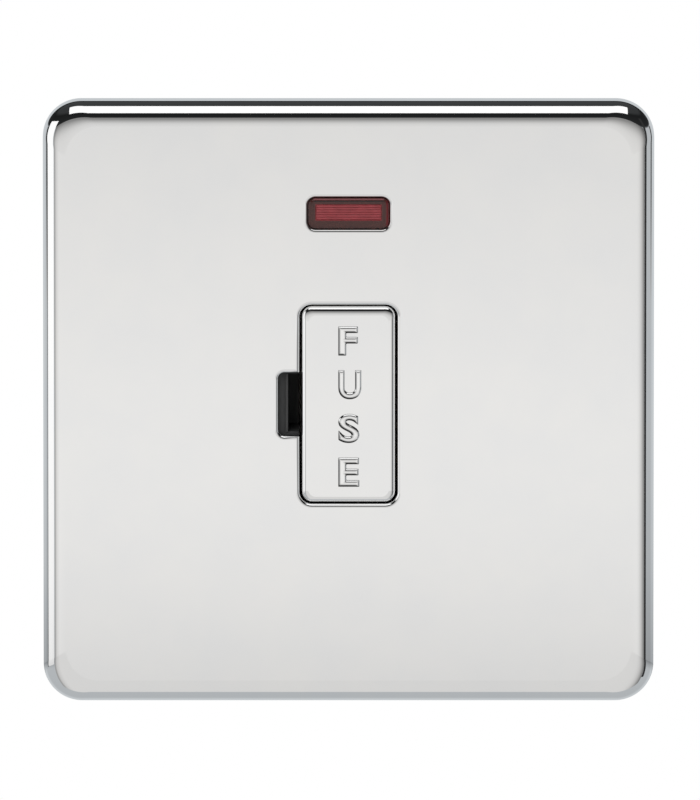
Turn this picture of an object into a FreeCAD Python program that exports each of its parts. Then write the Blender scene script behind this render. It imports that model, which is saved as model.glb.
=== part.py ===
import FreeCAD, Part
import os
from math import cos, radians, sin

V = FreeCAD.Vector

# Frame: millimetres. X runs to the right, Z runs up and the front faces -Y.
# The origin is the middle of the fixing pattern on the wall plane, Y = 0.

# Front plate: one metal pressing with a rounded, returned edge
plate_size = 95.0
plate_depth = 4.8
plate_corner_r = 6.0
plate_edge_r = 2.6
plate_wall = 1.0
aperture_lip_r = 0.3
prise_width = 10.0
prise_depth = 1.6
aperture_zone = 0.75

# Apertures and what shows in them
carrier_width = 14.9
carrier_height = 31.15
carrier_corner_r = 1.7
carrier_z = -0.1
carrier_gap = 0.25
notch_width = 3.3
notch_height = 10.0
notch_corner_r = 1.0
lens_width = 12.5
lens_height = 4.8
lens_corner_r = 0.9
lens_below_top = 3.35
lens_gap = 0.2
lens_proud = 0.2
carrier_proud = 0.3

# Fixing pattern for an ordinary one gang wall box
fixing_spacing = 60.3
fixing_slot_half_width = 2.0
fixing_slot_length = 5.5
fixing_floor = 1.5
fixing_well_r = 4.4
fixing_well_wall = 1.1
fixing_well_stretch = 1.5

# Sub-plate behind the front plate
edge_clearance = 0.3
nib_clearance = 0.05
nib_length = 7.0
nib_spacing = 54.0
nib_back = 0.6
panel_thickness = 2.0
rib_width = 1.4
lower_rib_drop = 24.0
upper_rib_rise = 18.5
upright_rib_x = 17.3
well_clearance = 0.05
strip_clearance = 0.2
well_wall = 1.3
well_depth = 9.0
notch_shelf = 0.8
notch_pit_depth = 3.6
notch_pit_share = 0.52
notch_pit_inset = 0.4
notch_ridge = 0.35
notch_ridge_rise = 0.3
lens_flange_lip = 1.2
lens_flange_thickness = 0.8
lens_flange_gap = 0.1
lens_box_wall = 1.1
lens_box_depth = 5.0
lens_edge_r = 0.35
lens_skin = 1.2
lens_skirt = 2.6
lens_skirt_wall = 1.05
lens_skirt_inset = 0.15
window_width = 10.4
window_sink = 0.3
window_corner_r = 0.4
rib_count = 6
rib_pitch = 0.42
rib_fill = 0.84

# Fuse link, ordinary plug-top size
fuse_length = 25.4
fuse_cap_r = 3.175
fuse_cap_length = 6.0
fuse_cap_wall = 0.16
fuse_tube_r = 3.0
fuse_y = 3.6
fuse_end_play = 0.25
fuse_end_gap = 0.05
fuse_cap_fit = 0.015
fuse_cap_round = 0.14

# Fuse carrier drawer
cap_skin = 1.0
cap_skirt = 2.2
cap_edge_r = 1.1
flange_inset = 0.15
carrier_travel = 13.0
carrier_block_back = 0.2
carrier_tail = 14.0
rail_inner_x = 3.2
rail_outer_x = 6.0
rail_reach = 15.3
hook_reach = 16.1
hook_length = 1.2
hook_slot_side = 0.2
hook_stop_gap = 0.05
clip_half_length = 4.5
clip_wall = 1.1
clip_clearance = 0.05
clip_mouth_deg = 110.0
lever_groove_front = 2.6
lever_groove_back = 1.2
lever_groove_depth = 0.85
lever_groove_half = 4.0

# Spring jaws that grip the fuse caps
jaw_thickness = 0.6
jaw_clearance = 0.06
jaw_height = 4.4
jaw_base_gap = 0.5
jaw_lip_flare = 1.3
jaw_lip_length = 1.5
jaw_front = 0.4
rivet_r = 1.1
rivet_head_r = 1.8
rivet_head = 0.3
rivet_room = 0.2

# Rear housing
housing_width = 46.0
housing_height = 67.0
housing_corner_r = 3.0
housing_depth = 21.0
housing_wall = 1.8
housing_floor = 2.0
housing_edge_r = 1.2
partition = 1.0
partition_start = 1.5
block_rib_start = 3.0
entry_r = 2.7
entry_chamfer = 0.5
screw_access_r = 2.3
panel_width = 24.0
panel_height = 16.0
panel_recess = 0.4
panel_corner_r = 1.5
bar_seat_half = 5.0

# Terminals
column_side_gap = 1.7
block_width = 8.0
block_length = 9.0
block_back = 18.5
bore_r = 2.0
bore_y = 13.2
block_chamfer = 0.5
strip_width = 5.0
strip_thickness = 1.0
terminal_screw_r = 1.95
screw_clearance = 0.05
terminal_screw_length = 5.4
terminal_screw_lift = 0.1
screw_tip_chamfer = 0.6
screw_rim_chamfer = 0.25
driver_slot_width = 0.8
driver_slot_depth = 1.1

# Screws that close the housing
post_r = 2.6
post_overlap = 0.2
closing_screw_r = 1.4
closing_head_r = 2.6
closing_head = 1.2
closing_length = 12.0
closing_tip_gap = 1.0
closing_clearance = 0.1
closing_head_sink = 0.1
closing_head_round = 0.4
cross_recess_long = 1.7
cross_recess_short = 0.3
cross_recess_depth = 0.7

# Earth contact and neon
earth_spring_width = 4.0
earth_spring_thickness = 0.5
earth_spring_z = 3.0
earth_base_drop = 2.4
earth_crown_rise = 1.6
earth_crown_flat = 1.6
earth_tail_rise = 2.8
earth_tail_back = 1.3
earth_bend_back = 1.0
earth_window = 11.0
earth_window_margin = 1.0
lamp_r = 2.0
lamp_length = 9.5
lamp_pinch = 2.0
lamp_dome = 1.6
lamp_y = 1.3
electrode_gap = 1.4
lead_r = 0.3
resistor_r = 1.15
resistor_length = 6.4
resistor_y = 6.3
resistor_cap = 2.0
resistor_round = 0.5
lead_insert = 0.4
lead_bend_inset = 0.6
lead_live_drop = 2.0
lead_live_back = 1.2
lead_neutral_drop = 3.0
lead_neutral_reach = 2.0
lead_neutral_run = 1.5

front = -plate_depth
inner_front = front + plate_wall
column_x = housing_width / 2 - housing_wall - column_side_gap - block_width / 2
lens_z = housing_height / 2 - lens_below_top
well_opening = carrier_gap + well_clearance
well_out = well_opening + well_wall
post_x = column_x / 2
post_z = carrier_height / 2 + well_out + post_r - post_overlap
clear = 1.0
close_fit = 0.02
jaw_inner = fuse_cap_r + jaw_clearance
jaw_base_y = fuse_y + fuse_cap_r + jaw_base_gap
strip_front = jaw_base_y + jaw_thickness
strip_back = strip_front + strip_thickness
cap_mid = fuse_length / 2 - fuse_cap_length / 2
housing_inner_z = housing_height / 2 - housing_wall
housing_back_inner = housing_depth - housing_floor


def box(x0, x1, y0, y1, z0, z1):
    return Part.makeBox(x1 - x0, y1 - y0, z1 - z0, V(x0, y0, z0))


def cylinder(x, y, z, radius, length, direction):
    return Part.makeCylinder(radius, length, V(x, y, z), direction)


def along_y(x, z, radius, y0, y1):
    return cylinder(x, y0, z, radius, y1 - y0, V(0, 1, 0))


def joined(shapes):
    whole = shapes[0]
    for piece in shapes[1:]:
        whole = whole.fuse(piece)
    return whole.removeSplitter()


def cut_all(shape, cutters):
    for cutter in cutters:
        shape = shape.cut(cutter)
    return shape.removeSplitter()


def rounded_prism(width, height, radius, y0, y1, cx=0.0, cz=0.0):
    """A rounded rectangle in the XZ plane, carried from y0 to y1."""
    hw = width / 2
    hh = height / 2
    corners = ((hw - radius, hh - radius, 0), (radius - hw, hh - radius, 90),
               (radius - hw, radius - hh, 180), (hw - radius, radius - hh, 270))
    arcs = []
    for x, z, start in corners:
        points = []
        for turn in (0, 45, 90):
            a = radians(start + turn)
            points.append(V(cx + x + radius * cos(a), y0, cz + z + radius * sin(a)))
        arcs.append(points)
    edges = []
    for i, points in enumerate(arcs):
        following = arcs[(i + 1) % len(arcs)][0]
        edges.append(Part.Arc(points[0], points[1], points[2]).toShape())
        edges.append(Part.makeLine(points[2], following))
    return Part.Face(Part.Wire(edges)).extrude(V(0, y1 - y0, 0))


def edges_at(shape, y, half_size=plate_size):
    """The edges that lie in the plane Y = y, no further out than the half size."""
    found = []
    for edge in shape.Edges:
        b = edge.BoundBox
        flat = abs(b.YMin - y) < 0.001 and abs(b.YMax - y) < 0.001
        if flat and max(abs(b.XMin), abs(b.XMax), abs(b.ZMin), abs(b.ZMax)) < half_size:
            found.append(edge)
    return found


def soft_front(shape, y, radius):
    return shape.makeFillet(radius, edges_at(shape, y))


def offset_path(points, distance):
    """The open path moved sideways by a distance, its corners mitred."""
    moved = []
    for i, (a, b) in enumerate(points):
        sides = []
        for j in (i - 1, i):
            if 0 <= j < len(points) - 1:
                da = points[j + 1][0] - points[j][0]
                db = points[j + 1][1] - points[j][1]
                length = (da * da + db * db) ** 0.5
                sides.append((-db / length, da / length))
        na = sum(n[0] for n in sides) / len(sides)
        nb = sum(n[1] for n in sides) / len(sides)
        scale = distance / (na * na + nb * nb)
        moved.append((a + na * scale, b + nb * scale))
    return moved


def bent_strip(points, thickness, width, cx, cz, across):
    """A sheet metal strip along a bent centre line, given as a plane path with Y first.
    across is X when the path lies in the YZ plane, and Z when it lies in the XY plane."""
    one_side = offset_path(points, thickness / 2)
    other_side = offset_path(points, -thickness / 2)
    outline = one_side + other_side[::-1] + one_side[:1]
    if across == "X":
        path = [V(cx - width / 2, p[0], cz + p[1]) for p in outline]
        push = V(width, 0, 0)
    else:
        path = [V(cx + p[1], p[0], cz - width / 2) for p in outline]
        push = V(0, 0, width)
    return Part.Face(Part.makePolygon(path)).extrude(push)


def carrier_opening(grow, y0, y1):
    """The outline of the carrier with the screwdriver notch beside it."""
    main = rounded_prism(carrier_width + 2 * grow, carrier_height + 2 * grow,
                         carrier_corner_r + grow, y0, y1, 0.0, carrier_z)
    return main.fuse(notch_prism(y0, y1))


def notch_prism(y0, y1):
    edge = carrier_width / 2 + carrier_gap
    overlap = carrier_corner_r
    width = notch_width + overlap
    centre = overlap - edge - width / 2
    return rounded_prism(width, notch_height, notch_corner_r, y0, y1, centre, carrier_z)


def make_front_plate():
    outer = rounded_prism(plate_size, plate_size, plate_corner_r, front, 0.0)
    outer = soft_front(outer, front, plate_edge_r)
    inner_size = plate_size - 2 * plate_wall
    hollow = rounded_prism(inner_size, inner_size, plate_corner_r - plate_wall, inner_front, clear)
    hollow = soft_front(hollow, inner_front, plate_edge_r - plate_wall)
    lens_hole = rounded_prism(lens_width + 2 * lens_gap, lens_height + 2 * lens_gap,
                              lens_corner_r + lens_gap, front - clear, 0.0, 0.0, lens_z)
    plate = cut_all(outer, [hollow, carrier_opening(carrier_gap, front - clear, 0.0), lens_hole])
    rims = edges_at(plate, front, aperture_zone * plate_size / 2)
    plate = plate.makeFillet(aperture_lip_r, rims)
    half = plate_size / 2
    prise = box(-prise_width / 2, prise_width / 2, -prise_depth, clear, -half - clear, -half + 2 * plate_wall)
    return plate.cut(prise)


def long_hole(x, half_width, length, y0, y1):
    """A hole stretched along X, with round ends."""
    flat = length - 2 * half_width
    middle = box(x - flat / 2, x + flat / 2, y0, y1, -half_width, half_width)
    ends = [along_y(x + side * flat / 2, 0.0, half_width, y0, y1) for side in (-1, 1)]
    return joined([middle] + ends)


def sub_plate_ribs():
    """Stiffening ribs on the front of the panel, under the front plate."""
    outer_size = plate_size - 2 * plate_edge_r - 2 * edge_clearance
    corner = plate_corner_r - plate_edge_r
    ring = rounded_prism(outer_size, outer_size, corner, inner_front, -panel_thickness)
    gap = rounded_prism(outer_size - 2 * rib_width, outer_size - 2 * rib_width,
                        corner - rib_width, inner_front - clear, 0.0)
    ribs = [ring.cut(gap)]
    reach = outer_size / 2 - rib_width / 2
    for level in (-lower_rib_drop, upper_rib_rise):
        ribs.append(box(-reach, reach, inner_front, -panel_thickness, level, level + rib_width))
    for x in (-upright_rib_x, upright_rib_x):
        ribs.append(box(x - rib_width / 2, x + rib_width / 2, inner_front, -panel_thickness, -reach, reach))
    return ribs


def lens_box(grow, y0, y1):
    lip = lens_flange_lip + grow
    return rounded_prism(lens_width + 2 * lip, lens_height + 2 * lip, lens_corner_r + lip, y0, y1, 0.0, lens_z)


def closing_post_places():
    return [(sx * post_x, sz * post_z) for sx in (-1, 1) for sz in (-1, 1)]


def edge_nibs(size):
    """Small sprung pads round the panel's edge that hold the front plate by friction."""
    nib = edge_clearance - nib_clearance
    nibs = []
    for place in (-nib_spacing / 2, nib_spacing / 2):
        for turn in (0, 90, 180, 270):
            pad = box(place - nib_length / 2, place + nib_length / 2, -panel_thickness, -nib_back,
                      size / 2 - clear, size / 2 + nib)
            pad.rotate(V(0, 0, 0), V(0, 1, 0), turn)
            nibs.append(pad)
    return nibs


def sub_plate_bosses():
    """Well tube for the drawer, surround of the notch, lens box, fixing wells and closing posts."""
    bosses = []
    well_outer_r = fixing_well_r + fixing_well_wall
    for side in (-1, 1):
        bosses.append(long_hole(side * fixing_spacing / 2, well_outer_r, 2 * well_outer_r + fixing_well_stretch,
                                inner_front, 0.0))
    bosses.append(rounded_prism(carrier_width + 2 * well_out, carrier_height + 2 * well_out,
                                carrier_corner_r + well_out, inner_front, well_depth, 0.0, carrier_z))
    edge = carrier_width / 2 + carrier_gap
    half = notch_height / 2 + well_wall
    bosses.append(box(-edge - notch_width - well_wall, -edge, inner_front, 0.0, carrier_z - half, carrier_z + half))
    pit = edge + notch_width * notch_pit_share
    bosses.append(box(-pit - well_wall, -edge, -clear, notch_pit_depth + well_wall, carrier_z - half, carrier_z + half))
    bosses.append(lens_box(lens_box_wall, inner_front, 0.0))
    behind = lens_box(lens_box_wall, -clear / 2, lens_box_depth)
    top = housing_height / 2
    bosses.append(behind.common(box(-housing_width / 2, housing_width / 2, -clear, housing_depth, 0, top)))
    for x, z in closing_post_places():
        bosses.append(along_y(x, z, post_r, -panel_thickness, housing_back_inner))
    return bosses


def well_cuts():
    """The drawer's way through the sub-plate, with slots for its hooks and room for the live strips."""
    cuts = [rounded_prism(carrier_width + 2 * well_opening, carrier_height + 2 * well_opening,
                          carrier_corner_r + well_opening, inner_front - clear, well_depth + clear, 0.0, carrier_z)]
    edge = carrier_width / 2 + carrier_gap
    pit = edge + notch_width * notch_pit_share
    half = notch_height / 2 - notch_pit_inset
    ridge = box(-pit - notch_ridge, -pit, inner_front + notch_shelf - notch_ridge_rise, 0.0,
                carrier_z - half, carrier_z + half)
    cuts.append(notch_prism(inner_front - clear, inner_front + notch_shelf).cut(ridge))
    cuts.append(box(-pit, carrier_corner_r - edge, inner_front - clear, notch_pit_depth,
                    carrier_z - half, carrier_z + half))
    slot_front = carrier_tail - hook_length - carrier_travel - hook_stop_gap
    reach = carrier_height / 2 + well_out + clear
    for side in (-1, 1):
        x0, x1 = sorted((side * (rail_inner_x - hook_slot_side), side * (rail_outer_x + hook_slot_side)))
        cuts.append(box(x0, x1, slot_front, well_depth + clear, carrier_z - reach, carrier_z + reach))
    strip_way = strip_width / 2 + strip_clearance
    cuts.append(box(-strip_way, strip_way, strip_front - strip_clearance, well_depth + clear,
                    carrier_z - reach, carrier_z + reach))
    return cuts


def make_sub_plate():
    size = plate_size - 2 * plate_wall - 2 * edge_clearance
    panel = rounded_prism(size, size, plate_corner_r - plate_wall, -panel_thickness, 0.0)
    body = joined([panel] + sub_plate_ribs() + edge_nibs(size) + sub_plate_bosses())
    cuts = well_cuts()
    for side in (-1, 1):
        x = side * fixing_spacing / 2
        cuts.append(long_hole(x, fixing_well_r, 2 * fixing_well_r + fixing_well_stretch,
                              inner_front - clear, -fixing_floor))
        cuts.append(long_hole(x, fixing_slot_half_width, fixing_slot_length, inner_front - clear, clear))
    cuts.append(lens_box(lens_flange_gap, inner_front - clear, inner_front + lens_flange_thickness))
    cuts.append(rounded_prism(lens_width, lens_height + 2 * lens_gap, lens_corner_r, inner_front - clear,
                              lens_box_depth + clear, 0.0, lens_z))
    for x, z in closing_post_places():
        cuts.append(along_y(x, z, closing_screw_r + closing_clearance / 2,
                            housing_back_inner - closing_length, housing_back_inner + clear))
    half = earth_spring_width / 2 + earth_window_margin / 2
    low = earth_spring_z - earth_window_margin
    cuts.append(box(column_x - half, column_x + half, inner_front - clear, clear, low, low + earth_window))
    return cut_all(body, cuts)


def terminal_places():
    """Column and row of each conductor terminal: x, then +1 for the top row or -1 for the bottom."""
    return [(x, row) for row in (1, -1) for x in (-column_x, 0.0, column_x)]


def housing_partitions():
    """Walls between the columns, and short ribs on each side of the live blocks."""
    walls = []
    side_in = column_x - block_width / 2
    block_inner_z = housing_inner_z - block_length
    back = housing_back_inner + housing_floor / 2
    for row in (-1, 1):
        z0, z1 = sorted((row * block_inner_z, row * (housing_inner_z + housing_wall / 2)))
        w0, w1 = sorted((row * (block_inner_z + partition), row * (housing_inner_z + housing_wall / 2)))
        for side in (-1, 1):
            x0, x1 = sorted((side * (side_in - partition), side * side_in))
            walls.append(box(x0, x1, jaw_base_y + partition_start, back, z0, z1))
            x0, x1 = sorted((side * block_width / 2, side * (block_width / 2 + partition)))
            walls.append(box(x0, x1, strip_front + block_rib_start, back, w0, w1))
    return walls


def housing_seats():
    """Pads that hold the blocks, the jaw strips and the two bars off the rear wall."""
    seats = []
    back = housing_back_inner + housing_floor / 2
    block_inner_z = housing_inner_z - block_length
    for x, row in terminal_places():
        z0, z1 = sorted((row * block_inner_z, row * housing_inner_z))
        seats.append(box(x - block_width / 2, x + block_width / 2, block_back, back, z0, z1))
    half = strip_width / 2
    for side in (-1, 1):
        z = carrier_z + side * cap_mid
        seats.append(box(-half, half, strip_back, back, z - jaw_height / 2, z + jaw_height / 2))
        x = side * column_x
        seats.append(box(x - half, x + half, strip_back, back, -bar_seat_half, bar_seat_half))
    return seats


def terminal_cuts():
    """A driver hole from the rear and a chamfered conductor entry for each terminal."""
    cuts = []
    for x, row in terminal_places():
        z = row * (housing_inner_z - block_length / 2)
        cuts.append(along_y(x, z, screw_access_r, block_back - clear, housing_depth + clear))
        start = row * (housing_inner_z - clear / 2)
        cuts.append(cylinder(x, bore_y, start, entry_r, housing_wall + clear, V(0, 0, row)))
        rim = V(x, bore_y, row * (housing_height / 2 - entry_chamfer))
        cuts.append(Part.makeCone(entry_r, entry_r + entry_chamfer + clear, entry_chamfer + clear, rim, V(0, 0, row)))
    return cuts


def make_housing():
    shell = rounded_prism(housing_width, housing_height, housing_corner_r, 0.0, housing_depth)
    shell = soft_front(shell, housing_depth, housing_edge_r)
    inside = rounded_prism(housing_width - 2 * housing_wall, housing_height - 2 * housing_wall,
                           housing_corner_r - housing_wall, -clear, housing_back_inner)
    body = joined([shell.cut(inside)] + housing_partitions() + housing_seats())
    cuts = terminal_cuts()
    box_half = lens_width / 2 + lens_flange_lip + lens_box_wall + lens_flange_gap
    cuts.append(box(-box_half, box_half, -clear, lens_box_depth + lens_flange_gap,
                    housing_inner_z - clear / 2, housing_height))
    for x, z in closing_post_places():
        cuts.append(along_y(x, z, closing_screw_r + closing_clearance, block_back, housing_depth + clear))
        cuts.append(along_y(x, z, closing_head_r + closing_clearance,
                            housing_depth - closing_head, housing_depth + clear))
    rivets = [(0.0, carrier_z + cap_mid), (0.0, carrier_z - cap_mid), (column_x, 0.0)]
    for x, z in rivets:
        cuts.append(along_y(x, z, rivet_head_r + rivet_room, strip_back - clear, strip_back + rivet_head + rivet_room))
    cuts.append(rounded_prism(panel_width, panel_height, panel_corner_r, housing_depth - panel_recess,
                              housing_depth + clear))
    return cut_all(body, cuts)


def make_closing_screws():
    screws = []
    head_front = housing_depth - closing_head
    head_back = housing_depth - closing_head_sink
    tip = housing_back_inner - closing_length + closing_tip_gap
    for x, z in closing_post_places():
        head = along_y(x, z, closing_head_r, head_front, head_back)
        head = head.makeFillet(closing_head_round, edges_at(head, head_back))
        screw = along_y(x, z, closing_screw_r, tip, head_front).fuse(head)
        for half_x, half_z in ((cross_recess_long, cross_recess_short), (cross_recess_short, cross_recess_long)):
            screw = screw.cut(box(x - half_x, x + half_x, head_back - cross_recess_depth, housing_depth + clear,
                                  z - half_z, z + half_z))
        screws.append(screw)
    return Part.makeCompound(screws)


def make_lens():
    """Red window with a sunk, ribbed middle, a flange behind the plate and a hollow skirt over the lamp."""
    face = front - lens_proud
    flange_back = inner_front + lens_flange_thickness
    body = rounded_prism(lens_width, lens_height, lens_corner_r, face, flange_back, 0.0, lens_z)
    lens = soft_front(body, face, lens_edge_r).fuse(lens_box(0.0, inner_front, flange_back))
    window_height = rib_count * rib_pitch
    floor = face + window_sink
    lens = lens.cut(rounded_prism(window_width, window_height, window_corner_r, face - clear, floor, 0.0, lens_z))
    first = lens_z - window_height / 2 + rib_pitch / 2
    for i in range(rib_count):
        start = V(-window_width / 2, floor, first + i * rib_pitch)
        lens = lens.fuse(Part.makeCylinder(rib_pitch / 2 * rib_fill, window_width, start, V(1, 0, 0)))
    skirt_back = flange_back + lens_skirt
    lens = lens.fuse(rounded_prism(lens_width - 2 * lens_skirt_inset, lens_height, lens_corner_r, inner_front,
                                   skirt_back, 0.0, lens_z))
    hollow = rounded_prism(lens_width - 2 * lens_skirt_wall, lens_height - 2 * lens_skirt_wall + lens_gap,
                           window_corner_r, face + lens_skin, skirt_back + clear, 0.0, lens_z)
    return lens.cut(hollow).removeSplitter()


def make_lamp():
    """Glass envelope lying across the unit behind the lens, with one pinched and one domed end."""
    half = lamp_length / 2
    pinch = half - lamp_pinch
    dome = half - lamp_dome
    profile = [V(-half, 0, 0), V(-half, lamp_r * 0.45, 0), V(-pinch - lamp_pinch / 2, lamp_r * 0.8, 0),
               V(-pinch, lamp_r, 0), V(dome, lamp_r, 0), V(dome + lamp_dome * 0.56, lamp_r * 0.85, 0),
               V(half, lamp_r * 0.3, 0), V(half, 0, 0)]
    glass = Part.Face(Part.makePolygon(profile + profile[:1])).revolve(V(0, 0, 0), V(1, 0, 0), 360)
    for side in (-1, 1):
        start = V(electrode_gap / 2 * side, 0, 0)
        glass = glass.cut(Part.makeCylinder(lead_r + close_fit, half, start, V(side, 0, 0)))
    glass.translate(V(0, lamp_y, lens_z))
    return glass


def wire_run(points, radius):
    """Round wire along straight runs, with a ball at each bend."""
    pieces = []
    for a, b in zip(points, points[1:]):
        start = V(*a)
        step = V(*b) - start
        pieces.append(Part.makeCylinder(radius, step.Length, start, step))
    for p in points[1:-1]:
        pieces.append(Part.makeSphere(radius, V(*p)))
    whole = pieces[0]
    for piece in pieces[1:]:
        whole = whole.fuse(piece)
    return whole


def make_leads():
    """Lamp to resistor, resistor to the live block, and lamp to the neutral block."""
    y = lamp_y
    z = lens_z
    turn = resistor_y
    end_x = lens_width / 2 - lead_bend_inset
    inside = resistor_length / 2 - lead_insert
    live = wire_run([(electrode_gap / 2, y, z), (end_x, y, z), (end_x, turn, z), (inside, turn, z)], lead_r)
    touch = block_width / 2 + lead_r
    to_block = wire_run([(-inside, turn, z), (-touch, turn, z),
                         (-touch, strip_front + lead_live_back, z - lead_live_drop)], lead_r)
    neutral_y = strip_front - lead_r
    landing = -column_x + lead_neutral_reach
    neutral = wire_run([(-electrode_gap / 2, y, z), (-end_x, y, z), (-end_x, turn - lead_insert, z),
                        (landing + lead_neutral_run, neutral_y, z - lead_neutral_drop),
                        (landing, neutral_y, z - lead_neutral_drop)], lead_r)
    return Part.makeCompound([live, to_block, neutral])


def make_resistor():
    """Small dumb-bell shaped resistor body."""
    h = resistor_length / 2
    r = resistor_r
    waist = h - resistor_cap
    shoulder = h - resistor_round
    half = [(h, 0), (h, r * 0.7), (shoulder, r), (waist + resistor_round, r), (waist, r * 0.82)]
    outline = [V(-x, y, 0) for x, y in half] + [V(x, y, 0) for x, y in reversed(half)]
    body = Part.Face(Part.makePolygon(outline + outline[:1])).revolve(V(0, 0, 0), V(1, 0, 0), 360)
    for side in (-1, 1):
        start = V(side * (h - lead_insert), 0, 0)
        body = body.cut(Part.makeCylinder(lead_r + close_fit, lead_insert + clear, start, V(side, 0, 0)))
    body.translate(V(0, resistor_y, lens_z))
    return body


def make_carrier_cap():
    face = front - carrier_proud
    outer = rounded_prism(carrier_width, carrier_height, carrier_corner_r, face, face + cap_skirt, 0.0, carrier_z)
    outer = soft_front(outer, face, cap_edge_r)
    inner = rounded_prism(carrier_width - 2 * cap_skin, carrier_height - 2 * cap_skin,
                          carrier_corner_r - cap_skin, face + cap_skin, face + cap_skirt + clear, 0.0, carrier_z)
    return outer.cut(inner)


def carrier_rails():
    """Four rails over the ends of the fuse, each with a stop hook, and a web at each end of the cradle."""
    solids = []
    wall_in = fuse_length / 2 + fuse_end_play
    start = carrier_block_back - clear
    for up in (-1, 1):
        z0, z1 = sorted((carrier_z + up * wall_in, carrier_z + up * rail_reach))
        h0, h1 = sorted((carrier_z + up * (rail_reach - well_wall / 2), carrier_z + up * hook_reach))
        for side in (-1, 1):
            x0, x1 = sorted((side * rail_inner_x, side * rail_outer_x))
            solids.append(box(x0, x1, start, carrier_tail, z0, z1))
            solids.append(box(x0, x1, carrier_tail - hook_length, carrier_tail, h0, h1))
        web_x = (rail_inner_x + rail_outer_x) / 2
        solids.append(box(-web_x, web_x, start, fuse_y + fuse_cap_r / 2, z0, z1))
    return solids


def clip_mouth():
    """Wedge that opens the clip towards +X."""
    z0 = carrier_z - clip_half_length
    reach = carrier_width
    half = radians(clip_mouth_deg / 2)
    points = [V(0, fuse_y, z0), V(reach * cos(half), fuse_y - reach * sin(half), z0), V(2 * reach, fuse_y, z0),
              V(reach * cos(half), fuse_y + reach * sin(half), z0), V(0, fuse_y, z0)]
    wedge = Part.Face(Part.makePolygon(points)).extrude(V(0, 0, 2 * clip_half_length))
    return wedge.common(box(0, reach, carrier_block_back, carrier_tail, z0, z0 + 2 * clip_half_length))


def make_carrier():
    """Black drawer behind the plated face: boss, block, rails and a clip round the middle of the fuse."""
    face = front - carrier_proud
    boss_inset = cap_skin + close_fit
    boss = rounded_prism(carrier_width - 2 * boss_inset, carrier_height - 2 * boss_inset,
                         carrier_corner_r - cap_skin, face + cap_skin, face + cap_skirt + cap_skin, 0.0, carrier_z)
    block = rounded_prism(carrier_width - 2 * flange_inset, carrier_height - 2 * flange_inset,
                          carrier_corner_r - flange_inset, face + cap_skirt, carrier_block_back, 0.0, carrier_z)
    ring_in = fuse_tube_r + clip_clearance
    z0 = carrier_z - clip_half_length
    length = 2 * clip_half_length
    ring = Part.makeCylinder(ring_in + clip_wall, length, V(0, fuse_y, z0), V(0, 0, 1))
    body = joined([boss, block, ring] + carrier_rails())
    hole = Part.makeCylinder(ring_in, length + 2 * clear, V(0, fuse_y, z0 - clear), V(0, 0, 1))
    groove_x = flange_inset - carrier_width / 2
    groove = box(groove_x - clear, groove_x + lever_groove_depth, -lever_groove_front, -lever_groove_back,
                 carrier_z - lever_groove_half, carrier_z + lever_groove_half)
    return cut_all(body, [hole, clip_mouth(), groove])


def make_fuse_tube():
    inset = fuse_cap_wall + fuse_end_gap
    start = V(0, fuse_y, carrier_z - fuse_length / 2 + inset)
    return Part.makeCylinder(fuse_tube_r, fuse_length - 2 * inset, start, V(0, 0, 1))


def make_fuse_cap(up):
    z_end = carrier_z + up * fuse_length / 2
    cup = Part.makeCylinder(fuse_cap_r, fuse_cap_length, V(0, fuse_y, z_end), V(0, 0, -up))
    end_edges = []
    for edge in cup.Edges:
        if abs(edge.BoundBox.ZMin - z_end) < 0.001 and abs(edge.BoundBox.ZMax - z_end) < 0.001:
            end_edges.append(edge)
    cup = cup.makeFillet(fuse_cap_round, end_edges)
    bore = Part.makeCylinder(fuse_tube_r + fuse_cap_fit, fuse_cap_length,
                             V(0, fuse_y, z_end - up * fuse_cap_wall), V(0, 0, -up))
    return cup.cut(bore)


def make_jaw(up):
    """U-shaped spring strip open to the front, its lips flared to lead the fuse cap in."""
    half = jaw_inner + jaw_thickness / 2
    base = jaw_base_y + jaw_thickness / 2
    lip_start = jaw_front + jaw_lip_length
    path = [(jaw_front, -half - jaw_lip_flare), (lip_start, -half), (base, -half),
            (base, half), (lip_start, half), (jaw_front, half + jaw_lip_flare)]
    jaw = bent_strip(path, jaw_thickness, jaw_height, 0.0, carrier_z + up * cap_mid, "Z")
    return jaw.cut(rivet_hole(0.0, carrier_z + up * cap_mid))


def rivet_hole(x, z):
    return along_y(x, z, rivet_r + close_fit, 0.0, housing_depth)


def rivet(x, z, y_front, y_back):
    """Flat-headed rivet that grips everything between the two planes."""
    shank = along_y(x, z, rivet_r, y_front, y_back)
    front_head = along_y(x, z, rivet_head_r, y_front - rivet_head, y_front)
    back_head = along_y(x, z, rivet_head_r, y_back, y_back + rivet_head)
    return joined([shank, front_head, back_head])


def make_jaw_rivets():
    return Part.makeCompound([rivet(0.0, carrier_z + up * cap_mid, jaw_base_y, strip_back) for up in (1, -1)])


def terminal_block(x, row):
    """Brass block with the conductor bore along Z and its clamp screw hole from the rear."""
    z0, z1 = sorted((row * (housing_inner_z - block_length), row * housing_inner_z))
    block = box(x - block_width / 2, x + block_width / 2, strip_front, block_back, z0, z1)
    uprights = [e for e in block.Edges if abs(e.BoundBox.ZLength - block_length) < 0.001]
    block = block.makeChamfer(block_chamfer, uprights)
    bore = cylinder(x, bore_y, z0 - clear, bore_r, block_length + 2 * clear, V(0, 0, 1))
    clamp = along_y(x, (z0 + z1) / 2, terminal_screw_r + screw_clearance, bore_y, block_back + clear)
    return block.cut(bore).cut(clamp)


def make_live_terminal(row):
    z = carrier_z + row * cap_mid
    z0, z1 = sorted((z - row * jaw_height / 2, row * (housing_inner_z - block_length + clear)))
    strip = box(-strip_width / 2, strip_width / 2, strip_front, strip_back, z0, z1)
    return joined([terminal_block(0.0, row), strip.cut(rivet_hole(0.0, z))])


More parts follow.
